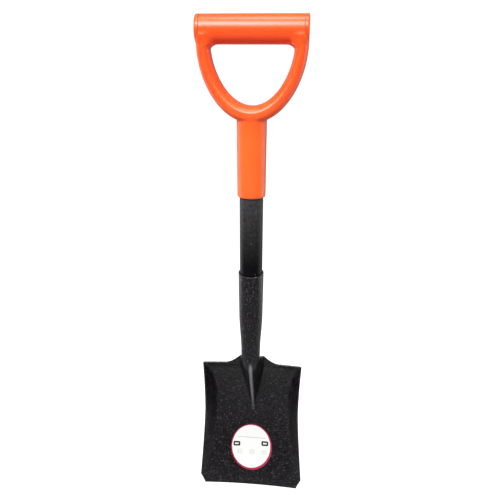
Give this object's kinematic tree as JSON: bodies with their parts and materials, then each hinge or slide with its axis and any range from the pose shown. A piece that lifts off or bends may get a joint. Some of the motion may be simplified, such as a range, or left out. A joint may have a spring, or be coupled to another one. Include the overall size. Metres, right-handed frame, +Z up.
{
  "type": "digging shovel",
  "caption": "Short square-mouth digging shovel with a moulded D-grip, a steel tube and a pressed steel pan with a rolled socket.",
  "frame": {"origin": "middle of the underside of the grip bar, where the shovel hangs from a peg", "axes": "+Z up the shaft towards the grip, +X along the grip bar, -Y out of the hollow side of the pan"},
  "size_m": [0.1509, 0.0615, 0.651],
  "materials": {
    "grip_plastic": "semi-gloss moulded orange plastic",
    "powder_coat": "fine-textured black powder coat with a faint sparkle",
    "plated_steel": "dull zinc plating",
    "label_paper": "coated paper with a thin red ring"
  },
  "bodies": {
    "root": {"d_handle": "grip_plastic", "grip_cap_left": "grip_plastic", "grip_cap_right": "grip_plastic", "shaft_tube": "powder_coat", "blade": "powder_coat", "socket_weld": "powder_coat", "socket_rivet_left": "plated_steel", "socket_rivet_right": "plated_steel", "rivet_stem_left": "plated_steel", "rivet_stem_right": "plated_steel", "handle_screw": "plated_steel", "label": "label_paper"}
  },
  "joints": []
}
